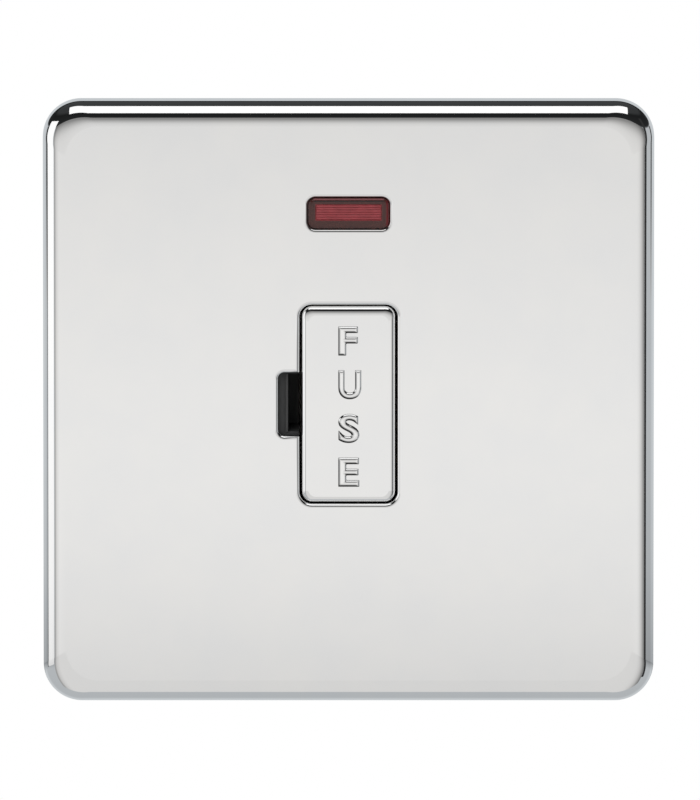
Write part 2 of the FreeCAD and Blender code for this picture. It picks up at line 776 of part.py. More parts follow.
def make_bar(side):
    """Two terminals joined by a strip: neutral on the left, earth on the right."""
    x = side * column_x
    reach = housing_inner_z - block_length + clear
    strip = box(x - strip_width / 2, x + strip_width / 2, strip_front, strip_back, -reach, reach)
    bar = joined([terminal_block(x, 1), terminal_block(x, -1), strip])
    return bar.cut(rivet_hole(x, 0.0)) if side > 0 else bar


def make_earth_spring():
    """Leaf from the earth bar to the back of the front plate, touching it at a flat crown."""
    t = earth_spring_thickness
    base = strip_front - t / 2
    crown = inner_front + t / 2
    z = earth_spring_z
    top = z + earth_crown_rise + earth_crown_flat
    path = [(base, -earth_base_drop), (base, z), (crown + earth_bend_back, z), (crown, z + earth_crown_rise),
            (crown, top), (crown + earth_tail_back, top + earth_tail_rise)]
    leaf = bent_strip(path, t, earth_spring_width, column_x, 0.0, "X")
    return leaf.cut(rivet_hole(column_x, 0.0))


def make_earth_rivet():
    return rivet(column_x, 0.0, strip_front - earth_spring_thickness, strip_back)


def make_terminal_screw(x, row):
    """Slotted clamp screw, shown backed off so that the conductor bore is clear."""
    z = row * (housing_inner_z - block_length / 2)
    r = terminal_screw_r
    tip = bore_y + bore_r + terminal_screw_lift
    end = tip + terminal_screw_length
    outline = [V(0, tip, 0), V(r - screw_tip_chamfer, tip, 0), V(r, tip + screw_tip_chamfer, 0),
               V(r, end - screw_rim_chamfer, 0), V(r - screw_rim_chamfer, end, 0), V(0, end, 0), V(0, tip, 0)]
    screw = Part.Face(Part.makePolygon(outline)).revolve(V(0, 0, 0), V(0, 1, 0), 360)
    half = driver_slot_width / 2
    screw = screw.cut(box(-2 * r, 2 * r, end - driver_slot_depth, end + clear, -half, half))
    screw.translate(V(x, 0, z))
    return screw


def all_nodes():
    nodes = {
        "front_plate": make_front_plate(),
        "sub_plate": make_sub_plate(),
        "terminal_housing": make_housing(),
        "housing_screws": make_closing_screws(),
        "neon_lens": make_lens(),
        "neon_lamp": make_lamp(),
        "neon_resistor": make_resistor(),
        "neon_leads": make_leads(),
        "fuse_carrier": make_carrier(),
        "fuse_carrier_cap": make_carrier_cap(),
        "fuse_tube": make_fuse_tube(),
        "fuse_cap_upper": make_fuse_cap(1),
        "fuse_cap_lower": make_fuse_cap(-1),
        "upper_jaw": make_jaw(1),
        "lower_jaw": make_jaw(-1),
        "jaw_rivets": make_jaw_rivets(),
        "load_live_terminal": make_live_terminal(1),
        "supply_live_terminal": make_live_terminal(-1),
        "neutral_bar": make_bar(-1),
        "earth_bar": make_bar(1),
        "earth_spring": make_earth_spring(),
        "earth_rivet": make_earth_rivet(),
    }
    kinds = {-column_x: "neutral", 0.0: "live", column_x: "earth"}
    rows = {1: "load", -1: "supply"}
    for x, row in terminal_places():
        name = "screw_" + rows[row] + "_" + kinds[x]
        nodes[name] = make_terminal_screw(x, row)
    return nodes


os.makedirs("parts", exist_ok=True)
for node_name, shape in all_nodes().items():
    shape.exportStep("parts/" + node_name + ".step")
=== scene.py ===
from math import cos, pi, radians, sin, tan

import bmesh
import bpy
from mathutils import Matrix, Vector


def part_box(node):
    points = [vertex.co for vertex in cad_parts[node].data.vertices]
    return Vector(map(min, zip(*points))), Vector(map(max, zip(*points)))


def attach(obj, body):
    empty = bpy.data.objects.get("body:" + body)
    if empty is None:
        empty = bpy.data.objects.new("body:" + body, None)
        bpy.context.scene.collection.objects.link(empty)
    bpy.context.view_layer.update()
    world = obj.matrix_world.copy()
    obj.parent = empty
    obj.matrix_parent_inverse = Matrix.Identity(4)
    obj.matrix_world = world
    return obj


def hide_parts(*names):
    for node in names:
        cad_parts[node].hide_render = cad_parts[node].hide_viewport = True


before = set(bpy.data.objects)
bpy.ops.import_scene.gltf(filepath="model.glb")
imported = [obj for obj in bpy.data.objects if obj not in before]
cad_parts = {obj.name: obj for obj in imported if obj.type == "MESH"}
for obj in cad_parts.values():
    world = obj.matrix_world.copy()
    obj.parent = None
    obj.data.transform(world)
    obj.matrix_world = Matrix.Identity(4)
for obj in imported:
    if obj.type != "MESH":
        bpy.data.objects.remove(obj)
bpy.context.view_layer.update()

bl_info = {
    "name": "Fused spur unit",
    "version": (1, 0, 0),
    "blender": (4, 5, 0),
    "location": "View3D > Sidebar > Fused spur",
    "description": "Finishes the plated front, fuse drawer, neon and terminals of a fused connection unit",
    "category": "Object",
}

MM = 0.001
# How near points have to be to count as one line, ring or plane, and how squarely a flat face looks along Y
SAME_LINE = 1e-7
SAME_RING = 2e-7
SAME_PLANE = 1e-6
FACING = 0.9
plate_low, plate_high = map(Vector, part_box("front_plate"))
cap_low, cap_high = map(Vector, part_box("fuse_carrier_cap"))
lens_low, lens_high = map(Vector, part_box("neon_lens"))
cap_middle = (cap_low + cap_high) / 2
lens_middle = (lens_low + lens_high) / 2
lens_half_width = 6.25 * MM
lens_half_height = 2.4 * MM
rows, columns = ("load", "supply"), ("neutral", "live", "earth")
screw_names = ["screw_" + row + "_" + column for row in rows for column in columns]


# Helpers for working by operators without a window

def drop_selection():
    if bpy.context.object and bpy.context.object.mode != "OBJECT":
        bpy.ops.object.mode_set(mode="OBJECT")
    bpy.ops.object.select_all(action="DESELECT")


def take(obj):
    drop_selection()
    obj.select_set(True)
    bpy.context.view_layer.objects.active = obj


def settle(name):
    """Name the new object and move its place, turn and size into its mesh."""
    obj = bpy.context.object
    obj.name = name
    bpy.ops.object.transform_apply(location=True, rotation=True, scale=True)
    return obj


def add_block(name, low, high):
    """A cube primitive added at its place and size."""
    drop_selection()
    middle = [(a + b) / 2 for a, b in zip(low, high)]
    size = [b - a for a, b in zip(low, high)]
    bpy.ops.mesh.primitive_cube_add(size=1.0, location=middle, scale=size)
    return settle(name)


def add_rod(name, start, radius, length, sides):
    """A cylinder primitive along X, from its start point."""
    drop_selection()
    middle = Vector(start) + Vector((length / 2, 0, 0))
    bpy.ops.mesh.primitive_cylinder_add(vertices=sides, radius=radius, depth=length, location=middle,
                                        rotation=(0, pi / 2, 0))
    return settle(name)


def edit(obj, mode):
    take(obj)
    bpy.ops.object.mode_set(mode="EDIT")
    bpy.ops.mesh.select_mode(type=mode)
    bpy.ops.mesh.select_all(action="DESELECT")
    return bmesh.from_edit_mesh(obj.data)


def edit_all(obj, mode):
    edit(obj, mode)
    bpy.ops.mesh.select_all(action="SELECT")


def leave_edit():
    bpy.ops.object.mode_set(mode="OBJECT")


def pick(mesh, found):
    if not found:
        raise RuntimeError("nothing was found to shape")
    for part in found:
        part.select_set(True)
    mesh.select_flush_mode()


def pick_edges(mesh, wanted):
    pick(mesh, [edge for edge in mesh.edges if wanted(edge.verts[0].co, edge.verts[1].co)])


def along_depth(a, b):
    """True for an edge that runs from front to back."""
    return abs(a.x - b.x) < SAME_LINE and abs(a.z - b.z) < SAME_LINE


def round_corners(obj, radius, segments):
    mesh = edit(obj, "EDGE")
    pick_edges(mesh, along_depth)
    bpy.ops.mesh.bevel(offset=radius, segments=segments, profile=0.5, affect="EDGES")
    leave_edit()


def add_turned(name, stations, sides):
    """A turned solid along Y, extruded and scaled from its first station (depth, radius) to its last."""
    drop_selection()
    y, r = stations[0]
    bpy.ops.mesh.primitive_circle_add(vertices=sides, radius=r, fill_type="NGON", location=(0, y, 0),
                                      rotation=(-pi / 2, 0, 0))
    turned = settle(name)
    edit_all(turned, "FACE")
    for next_y, next_r in stations[1:]:
        bpy.ops.mesh.extrude_region_move(TRANSFORM_OT_translate={"value": (0, next_y - y, 0)})
        bpy.ops.transform.resize(value=(next_r / r, 1.0, next_r / r), center_override=(0, next_y, 0))
        y, r = next_y, next_r
    bpy.ops.mesh.select_all(action="SELECT")
    bpy.ops.mesh.fill_holes(sides=0)
    bpy.ops.mesh.normals_make_consistent(inside=False)
    leave_edit()
    return turned


def add_ring(name, low, high, y, corner, segments):
    """A flat rounded rectangle at a depth, facing the front."""
    drop_selection()
    middle = ((low.x + high.x) / 2, y, (low.z + high.z) / 2)
    bpy.ops.mesh.primitive_plane_add(size=1.0, location=middle, rotation=(pi / 2, 0, 0))
    bpy.context.object.scale = (high.x - low.x, high.z - low.z, 1.0)
    ring = settle(name)
    edit_all(ring, "VERT")
    bpy.ops.mesh.bevel(offset=corner, segments=segments, profile=0.5, affect="VERTICES")
    leave_edit()
    return ring


def add_loft(name, sections, segments):
    """A skin bridged through rounded rectangles (low, high, depth, corner), open at the last one."""
    rings = [add_ring(name, low, high, y, corner, segments) for low, high, y, corner in sections]
    for ring in rings[1:]:
        edit_all(ring, "FACE")
        bpy.ops.mesh.delete(type="ONLY_FACE")
        leave_edit()
    join_into(rings[0], rings[1:])
    skin = rings[0]
    depths = [section[2] for section in sections]
    for pair in zip(depths, depths[1:]):
        mesh = edit(skin, "EDGE")
        pick_edges(mesh, lambda a, b: any(max(abs(a.y - y), abs(b.y - y)) < SAME_RING for y in pair))
        bpy.ops.mesh.bridge_edge_loops()
        leave_edit()
    edit_all(skin, "FACE")
    bpy.ops.mesh.normals_make_consistent(inside=False)
    leave_edit()
    return skin


def rounded_edge(low, high, insets, depth, corners, steps):
    """Sections of a rounded front edge over the insets (side, top, bottom) and the depth, up to the rear.
    The corner radius runs from corners[0] at the side to corners[1] on the face."""
    side, top, bottom = insets
    sections = []
    for i in range(steps + 1):
        turn = pi / 2 * i / steps
        inward = 1 - sin(turn)
        a = Vector((low.x + side * inward, 0, low.z + bottom * inward))
        b = Vector((high.x - side * inward, 0, high.z - top * inward))
        corner = corners[0] + (corners[1] - corners[0]) * inward
        sections.append((a, b, low.y + depth * (1 - cos(turn)), corner))
    sections.append((low, high, high.y, corners[0]))
    return sections


def flatten_depth(obj, y, share):
    """Scale the depth about a place, which turns round edges into ellipses."""
    edit_all(obj, "VERT")
    bpy.ops.transform.resize(value=(1.0, share, 1.0), center_override=(0.0, y, 0.0))
    leave_edit()


def open_back(obj, y):
    """Take away the faces that lie flat at a depth."""
    mesh = edit(obj, "FACE")
    level = [face for face in mesh.faces if abs(face.normal.y) > FACING]
    pick(mesh, [face for face in level if abs(face.calc_center_median().y - y) < SAME_PLANE])
    bpy.ops.mesh.delete(type="FACE")
    leave_edit()


def apply_modifier(obj, kind, **values):
    take(obj)
    modifier = obj.modifiers.new(kind.title(), kind)
    for key, value in values.items():
        setattr(modifier, key, value)
    bpy.ops.object.modifier_apply(modifier=modifier.name)


def combine(obj, other, operation):
    apply_modifier(obj, "BOOLEAN", operation=operation, object=other, solver="EXACT")
    drop_selection()
    bpy.data.objects.remove(other, do_unlink=True)


def join_into(obj, others):
    take(obj)
    for other in others:
        other.select_set(True)
    bpy.ops.object.join()


def copied(obj, name, shift):
    """A copy with a mesh of its own, moved in its mesh."""
    take(obj)
    bpy.ops.object.duplicate(linked=False)
    copy = bpy.context.object
    copy.name = name
    copy.data.transform(Matrix.Translation(shift))
    return copy


def make_sheet(obj, thickness):
    """Give a skin its thickness, inwards."""
    apply_modifier(obj, "SOLIDIFY", thickness=thickness, offset=-1.0, use_rim=True, use_quality_normals=True)


def smooth(obj, angle, weighted=False):
    take(obj)
    bpy.ops.object.shade_smooth_by_angle(angle=radians(angle))
    if weighted:
        apply_modifier(obj, "WEIGHTED_NORMAL", mode="FACE_AREA", weight=50, keep_sharp=True)


def finish_piece(obj, body, material, nodes=()):
    obj.data.materials.clear()
    obj.data.materials.append(material)
    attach(obj, body)
    if nodes:
        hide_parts(*nodes)


# Materials

NOISE_RANGE = (0.3, 0.7)


def new_material(name):
    """A material with its tree and its shader, or the one made before, without them."""
    old = bpy.data.materials.get(name)
    if old:
        return old, None, None
    material = bpy.data.materials.new(name)
    material.use_nodes = True
    tree = material.node_tree
    return material, tree, tree.nodes["Principled BSDF"]


def link(tree, a, out_name, b, in_name):
    tree.links.new(a.outputs[out_name], b.inputs[in_name])


def object_noise(tree, scale, detail, stretch=(1, 1, 1)):
    """Noise on Object coordinates, where a scale of 1 is one lump a millimetre."""
    place = tree.nodes.new("ShaderNodeTexCoord")
    mapping = tree.nodes.new("ShaderNodeMapping")
    mapping.inputs["Scale"].default_value = [s / MM for s in stretch]
    noise = tree.nodes.new("ShaderNodeTexNoise")
    noise.inputs["Scale"].default_value = scale
    noise.inputs["Detail"].default_value = detail
    link(tree, place, "Object", mapping, "Vector")
    link(tree, mapping, "Vector", noise, "Vector")
    return noise


def place_axis(tree, axis):
    """One Object coordinate."""
    place = tree.nodes.new("ShaderNodeTexCoord")
    split = tree.nodes.new("ShaderNodeSeparateXYZ")
    link(tree, place, "Object", split, "Vector")
    return split.outputs[axis]


def mapped(tree, source, low, high, to_low=0.0, to_high=1.0):
    """The source's range from low to high, spread over another one and kept within it."""
    node = tree.nodes.new("ShaderNodeMapRange")
    for name, value in (("From Min", low), ("From Max", high), ("To Min", to_low), ("To Max", to_high)):
        node.inputs[name].default_value = value
    tree.links.new(source, node.inputs["Value"])
    return node.outputs["Result"]


def ramp(tree, source, stops):
    """Colours over 0 to 1, the stops given as (place, colour)."""
    node = tree.nodes.new("ShaderNodeValToRGB")
    elements = node.color_ramp.elements
    while len(elements) < len(stops):
        elements.new(0.5)
    for element, (place, colour) in zip(elements, stops):
        element.position = place
        element.color = (*colour, 1.0)
    tree.links.new(source, node.inputs["Fac"])
    return node.outputs["Color"]


def drift(tree, noise, tones):
    """A colour that drifts between two tones with a noise."""
    return ramp(tree, noise.outputs["Fac"], list(zip(NOISE_RANGE, tones)))


def drifting(tree, shader, noise, tones):
    """Let the base colour drift between two tones with a noise."""
    tree.links.new(drift(tree, noise, tones), shader.inputs["Base Color"])


def uneven_gloss(tree, shader, noise, roughness):
    """Let the roughness run between its two ends with a noise."""
    rough = mapped(tree, noise.outputs["Fac"], *NOISE_RANGE, *roughness)
    tree.links.new(rough, shader.inputs["Roughness"])


def colour_mix(tree, factor, a, b, blend="MIX"):
    """Two colours mixed by a factor; the factor and the second colour may be values or sockets."""
    node = tree.nodes.new("ShaderNodeMix")
    node.data_type = "RGBA"
    node.blend_type = blend
    tree.links.new(a, node.inputs["A"])
    for name, value in (("Factor", factor), ("B", b)):
        if isinstance(value, bpy.types.NodeSocket):
            tree.links.new(value, node.inputs[name])
        else:
            node.inputs[name].default_value = value
    return node.outputs["Result"]


def bump(tree, shader, noise, distance, strength):
    node = tree.nodes.new("ShaderNodeBump")
    node.inputs["Strength"].default_value = strength
    node.inputs["Distance"].default_value = distance
    link(tree, noise, "Fac", node, "Height")
    link(tree, node, "Normal", shader, "Normal")


def scaled(colour, shares):
    """A colour with its channels scaled."""
    return tuple(channel * share for channel, share in zip(colour, shares))


def varied(colour, share):
    """The darker and the lighter end of a colour's drift."""
    return scaled(colour, [1 - share] * 3), scaled(colour, [1 + share] * 3)


def finish_settings():
    return bpy.context.scene.spur_finish


def metal(name, tones, roughness, grain, stretch=(1, 1, 1), height=0.002 * MM, strength=0.3):
    """Metal with a slight drift of tone, patches of duller polish and a fine grain."""
    material, tree, shader = new_material(name)
    if tree is None:
        return material
    shader.inputs["Metallic"].default_value = 1.0
    drifting(tree, shader, object_noise(tree, 0.12, 4.0), tones)
    fine = object_noise(tree, grain, 5.0, stretch)
    uneven_gloss(tree, shader, fine, roughness)
    bump(tree, shader, fine, height, strength)
    return material


def moulding(name, tones, roughness, grain, height, coat=0.0):
    """Moulded plastic: tone drift, a spark-eroded grain and uneven gloss."""
    material, tree, shader = new_material(name)
    if tree is None:
        return material
    drifting(tree, shader, object_noise(tree, 0.15, 4.0), tones)
    uneven_gloss(tree, shader, object_noise(tree, 0.5, 2.0), roughness)
    bump(tree, shader, object_noise(tree, grain, 2.0), height, 0.4)
    shader.inputs["Coat Weight"].default_value = coat
    return material


def chrome_plate():
    """Polished plating that drifts from a cool to a warm tone."""
    cool = scaled(finish_settings().plating, (0.9867, 0.9894, 0.9947))
    warm = scaled(finish_settings().plating, (1.0133, 1.0106, 1.0053))
    return metal("chrome_plate", (cool, warm), (0.02, 0.035), grain=0.25, height=0.0002 * MM, strength=0.15)


def plated_capitals_painted_shading():
    """Chrome with painted shading: painted shade darkens the flanks turned down or left and the foot where
    the capitals meet the face, and a painted highlight lifts their tops above the plating.
    """
    material, tree, shader = new_material("plated_capitals_painted_shading")
    if tree is None:
        return material
    shader.inputs["Metallic"].default_value = 1.0
    foot = cap_low.y + bpy.context.scene.spur_drawer.letter_rise
    height = mapped(tree, place_axis(tree, "Y"), foot, cap_low.y)
    # Painted highlight: the capitals' plating is lifted to 1.05 times the face's, so their tops look
    # brighter.
    highlight_plating = scaled(finish_settings().plating, [1.05] * 3)
    # Painted shade: the colour darkens towards the capitals' foot, where they meet the face.
    painted_foot_shade_levels = ((0.0, 0.3), (0.3, 0.5), (0.6, 1.0))
    corner = ramp(tree, height, [(place, scaled(highlight_plating, [level] * 3)) for place, level in painted_foot_shade_levels])
    # Painted shade: flanks whose normals turn down and left, along (-0.42, 0, -0.907), are darkened, as if
    # the light fell from above and right.
    surface = tree.nodes.new("ShaderNodeNewGeometry")
    shade = tree.nodes.new("ShaderNodeVectorMath")
    shade.operation = "DOT_PRODUCT"
    shade.inputs[1].default_value = (-0.42, 0.0, -0.907)
    link(tree, surface, "Normal", shade, 0)
    painted_flank_shade_levels = ((0.0, 1.0), (0.05, 1.0), (0.24, 0.12), (0.45, 0.03), (1.0, 0.02))
    painted_flank_shade = ramp(tree, shade.outputs["Value"], [(place, [level] * 3) for place, level in painted_flank_shade_levels])
    # The base colour is the painted highlight with the painted foot shade, times the painted flank shade.
    tree.links.new(colour_mix(tree, 1.0, corner, painted_flank_shade, "MULTIPLY"), shader.inputs["Base Color"])
    fine = object_noise(tree, 0.25, 5.0)
    uneven_gloss(tree, shader, fine, (0.03, 0.05))
    bump(tree, shader, fine, 0.0002 * MM, 0.15)
    return material


def arithmetic(tree, operation, a, b=0.0):
    """A math node on a socket and a second socket or value."""
    node = tree.nodes.new("ShaderNodeMath")
    node.operation = operation
    tree.links.new(a, node.inputs[0])
    if isinstance(b, bpy.types.NodeSocket):
        tree.links.new(b, node.inputs[1])
    else:
        node.inputs[1].default_value = b
    return node.outputs[0]


def soft_band(tree, axis, middle, inner, outer):
    """1 within the inner distance of the middle along an axis, falling to 0 at the outer distance."""
    shift = arithmetic(tree, "SUBTRACT", place_axis(tree, axis), middle)
    return mapped(tree, arithmetic(tree, "ABSOLUTE", shift), inner, outer, 1.0, 0.0)


def red_lens_plastic_painted_light():
    """Deep red moulding: a smoky border with a painted highlight line and a painted shade line at its top, a
    window in the lamp's red whose brighter tone is painted light coming through the ribs, and a painted red
    glow along the right edge.
    """
    material, tree, shader = new_material("red_lens_plastic_painted_light")
    if tree is None:
        return material
    cloud = object_noise(tree, 0.8, 3.0)
    border = drift(tree, cloud, varied(finish_settings().lens_border, 0.111))
    # Painted light: the window is the same red plastic as the border, painted a brighter red for light
    # coming through the ribs from behind.
    window = drift(tree, cloud, varied(finish_settings().lens_window_painted_light, 0.14))
    across = soft_band(tree, "X", lens_middle.x, 5.0 * MM, 5.25 * MM)
    upright = soft_band(tree, "Z", lens_middle.z + 0.2 * MM, 1.2 * MM, 1.36 * MM)
    tone = colour_mix(tree, arithmetic(tree, "MULTIPLY", across, upright), border, window)
    # Painted light: towards the right edge the red turns brighter and deeper, standing in for light coming
    # through the plastic.
    right = mapped(tree, place_axis(tree, "X"), lens_middle.x + 5.72 * MM, lens_middle.x + 6.0 * MM)
    tone = colour_mix(tree, right, tone, (0.1, 0.004, 0.006, 1.0))
    # Painted highlight: a light line along the rounded top edge, where the overhead light would reflect.
    painted_highlight_line = (2.27 * MM, 0.06 * MM, (0.15, 0.04, 0.044, 1.0))
    # Painted shade: a dark line just below the painted highlight, where the rounded edge meets the border.
    painted_shade_line = (1.98 * MM, 0.04 * MM, (0.006, 0.001, 0.001, 1.0))
    # Both painted lines are mixed in over the border's width.
    for rise, half, colour in (painted_highlight_line, painted_shade_line):
        level = soft_band(tree, "Z", lens_middle.z + rise, half, half + 0.08 * MM)
        reach = soft_band(tree, "X", lens_middle.x, 5.25 * MM, 5.65 * MM)
        tone = colour_mix(tree, arithmetic(tree, "MULTIPLY", level, reach), tone, colour)
    tree.links.new(tone, shader.inputs["Base Color"])
    shader.inputs["Transmission Weight"].default_value = 0.15
    shader.inputs["IOR"].default_value = 1.49
    uneven_gloss(tree, shader, cloud, (0.1, 0.2))
    bump(tree, shader, object_noise(tree, 4.0, 2.0), 0.003 * MM, 0.3)
    return material


def lamp_glass():
    """Clear glass with a faint smear."""
    material, tree, shader = new_material("lamp_glass")
    if tree is None:
        return material
    smear = object_noise(tree, 0.4, 3.0)
    drifting(tree, shader, smear, ((0.93, 0.94, 0.93), (0.99, 0.99, 0.98)))
    uneven_gloss(tree, shader, smear, (0.02, 0.08))
    shader.inputs["Transmission Weight"].default_value = 0.9
    shader.inputs["IOR"].default_value = 1.5
    bump(tree, shader, smear, 0.003 * MM, 0.2)
    return material


def resistor_coat():
    """Tan lacquer with four painted bands across the body."""
    material, tree, shader = new_material("resistor_coat")
    if tree is None:
        return material
    low, high = map(Vector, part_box("neon_resistor"))
    along = mapped(tree, place_axis(tree, "X"), low.x, high.x)
    buff = (0.55, 0.38, 0.2)
    orange = (0.75, 0.3, 0.02)
    yellow = (0.7, 0.6, 0.05)
    gold = (0.55, 0.4, 0.1)
    bands = ramp(tree, along, [(0.0, buff), (0.2, orange), (0.28, buff), (0.38, orange), (0.46, buff),
                               (0.55, yellow), (0.63, buff), (0.76, gold), (0.84, buff)])
    bands.node.color_ramp.interpolation = "CONSTANT"
    tree.links.new(bands, shader.inputs["Base Color"])
    dull = object_noise(tree, 1.0, 3.0)
    uneven_gloss(tree, shader, dull, (0.25, 0.4))
    bump(tree, shader, dull, 0.02 * MM, 0.4)
    return material


def fuse_ceramic():
    tones = (0.78, 0.76, 0.7), (0.86, 0.84, 0.79)
    return moulding("fuse_ceramic", tones, (0.18, 0.3), grain=1.2, height=0.006 * MM, coat=0.3)


def black_moulding():
    tones = varied(finish_settings().black, 0.294)
    return moulding("black_moulding", tones, (0.36, 0.5), grain=2.2, height=0.012 * MM)


def rear_moulding():
    tones = varied(finish_settings().rear, 0.042)
    return moulding("rear_moulding", tones, (0.3, 0.44), grain=1.6, height=0.01 * MM)


def terminal_brass():
    tones = (0.78, 0.56, 0.25), (0.88, 0.66, 0.32)
    return metal("terminal_brass", tones, (0.18, 0.34), grain=1.5, stretch=(0.15, 1, 1))


def spring_bronze():
    tones = (0.7, 0.42, 0.22), (0.8, 0.5, 0.28)
    return metal("spring_bronze", tones, (0.2, 0.34), grain=1.2, stretch=(1, 0.2, 1))


def rivet_brass():
    tones = (0.74, 0.56, 0.28), (0.84, 0.64, 0.33)
    return metal("rivet_brass", tones, (0.2, 0.38), grain=0.8)


def cap_nickel():
    tones = (0.66, 0.64, 0.59), (0.76, 0.74, 0.69)
    return metal("cap_nickel", tones, (0.14, 0.28), grain=1.0, stretch=(1, 1, 0.15))


def zinc_steel():
    tones = (0.58, 0.59, 0.6), (0.7, 0.7, 0.69)
    return metal("zinc_steel", tones, (0.2, 0.36), grain=1.4)


def screw_steel():
    tones = (0.6, 0.56, 0.42), (0.72, 0.68, 0.52)
    return metal("screw_steel", tones, (0.2, 0.36), grain=1.4)


def tinned_wire():
    tones = (0.62, 0.62, 0.61), (0.74, 0.74, 0.72)
    return metal("tinned_wire", tones, (0.22, 0.38), grain=1.6)


# Settings that a user would change

def length_setting(name, default, description, low=0.0, high=0.2):
    return bpy.props.FloatProperty(name=name, description=description, default=default, min=low, max=high,
                                   subtype="DISTANCE", unit="LENGTH", precision=5)


def colour_setting(name, default, description):
    return bpy.props.FloatVectorProperty(name=name, description=description, default=default, size=3,
                                         min=0.0, max=1.0, subtype="COLOR")


class FinishSettings(bpy.types.PropertyGroup):
    plating: colour_setting("Plating", (0.9425, 0.942, 0.94), "Colour of plate, drawer face and capitals")
    black: colour_setting("Black moulding", (0.017, 0.01625, 0.01575), "Colour of the sub-plate and drawer")
    rear: colour_setting("Rear moulding", (0.73, 0.72, 0.68), "Colour of the terminal housing")
    # Painted light: the window's red is set brighter than the border's, standing in for light coming through
    # the ribs.
    lens_window_painted_light: colour_setting("Neon window", (0.246, 0.037, 0.043), "Colour of the lens's ribbed window")
    lens_border: colour_setting("Neon border", (0.045, 0.0135, 0.011), "Colour of the lens's smooth border")


class FrontPlateSettings(bpy.types.PropertyGroup):
    corner: length_setting("Corner radius", 6.0 * MM, "Radius of the plate's corners seen from the front")
    face_corner: length_setting("Face corner radius", 4.9 * MM, "Radius of the flat face's corners")
    edge: length_setting("Edge width", 3.6 * MM, "Width of the rounded edge seen from the front")
    edge_depth: length_setting("Edge depth", 2.5 * MM, "Depth of the rounded edge seen from the side")
    wall: length_setting("Sheet thickness", 1.0 * MM, "Thickness of the pressed sheet")
    lip: length_setting("Lip radius", 0.6 * MM, "Width of the rounded rims of the apertures")
    gap: length_setting("Gap", 0.2 * MM, "Gap round the drawer's block")
    notch_width: length_setting("Notch width", 3.3 * MM, "Width of the screwdriver notch")
    notch_height: length_setting("Notch height", 10.0 * MM, "Height of the screwdriver notch")


class DrawerSettings(bpy.types.PropertyGroup):
    corner: length_setting("Corner radius", 1.7 * MM, "Radius of the corners of the drawer's face")
    face_corner: length_setting("Face corner radius", 1.1 * MM, "Radius of the flat face's corners")
    edge: length_setting("Edge width", 1.15 * MM, "Width of the edge at the face's sides")
    top_edge: length_setting("Top edge width", 1.5 * MM, "Width of the edge at the face's top")
    bottom_edge: length_setting("Bottom edge width", 0.95 * MM, "Width of the edge at the face's bottom")
    edge_depth: length_setting("Edge depth", 0.85 * MM, "Depth of the rounded edge of the drawer's face")
    wall: length_setting("Wall thickness", 0.9 * MM, "Thickness of the drawer's face")
    inset: length_setting("Side inset", 0.12 * MM, "How far the face's sides stand inside the block's")
    letter_height: length_setting("Letter height", 4.62 * MM, "Height of the raised capitals")
    letter_pitch: length_setting("Letter pitch", 6.93 * MM, "Distance from one capital to the next")
    letter_drop: length_setting("Letter drop", 0.32 * MM, "How far the word sits below the face's middle")
    letter_left: length_setting("Letter margin", 1.6 * MM, "From the face's middle to the letters' left")
    weight: bpy.props.FloatProperty(name="Letter weight", description="How much the strokes are thickened",
                                    default=-0.034, min=-0.05, max=0.1, precision=3)
    dome: bpy.props.FloatProperty(name="Stroke dome", description="Rounding of the flanks, as part of an em",
                                  default=0.078, min=0.0, max=0.1, precision=3)
    letter_rise: length_setting("Letter rise", 0.34 * MM, "How far the capitals stand out")


class NeonSettings(bpy.types.PropertyGroup):
    border: length_setting("Border", 1.12 * MM, "Width of the smooth border round the ribbed window")
    sink: length_setting("Window depth", 0.22 * MM, "Depth of the ribbed window below the border")
    ribs: bpy.props.IntProperty(name="Ribs", description="Number of ribs in the window",
                                default=6, min=1, max=20)
    window_rise: length_setting("Window rise", 0.2 * MM, "How far the window sits above the lens's middle")
    rounding: length_setting("Rounding", 0.42 * MM, "Radius of the lens's front edge")
    corner: length_setting("Corner radius", 1.1 * MM, "Radius of the lens's corners")


class ScrewSettings(bpy.types.PropertyGroup):
    pitch: length_setting("Pitch", 0.7 * MM, "Distance from one thread crest to the next")
    thread_depth: length_setting("Thread depth", 0.3 * MM, "Height of the thread's crests above its roots")
    slot_width: length_setting("Slot width", 0.8 * MM, "Width of the driver slot")
    slot_depth: length_setting("Slot depth", 1.1 * MM, "Depth of the driver slot")


def angle_setting(name, default, description):
    return bpy.props.FloatProperty(name=name, description=description, default=default,
                                   subtype="ANGLE", unit="ROTATION")


class StageSettings(bpy.types.PropertyGroup):
    distance: length_setting("Camera distance", 5.0, "Distance from the camera to the plate", 0.5, 10.0)
    elevation: angle_setting("Camera elevation", radians(11.1), "Angle of the camera above the horizon")
    azimuth: angle_setting("Camera azimuth", 0.0, "Angle of the camera round the plate")


# Operators, one for each piece or group of like pieces

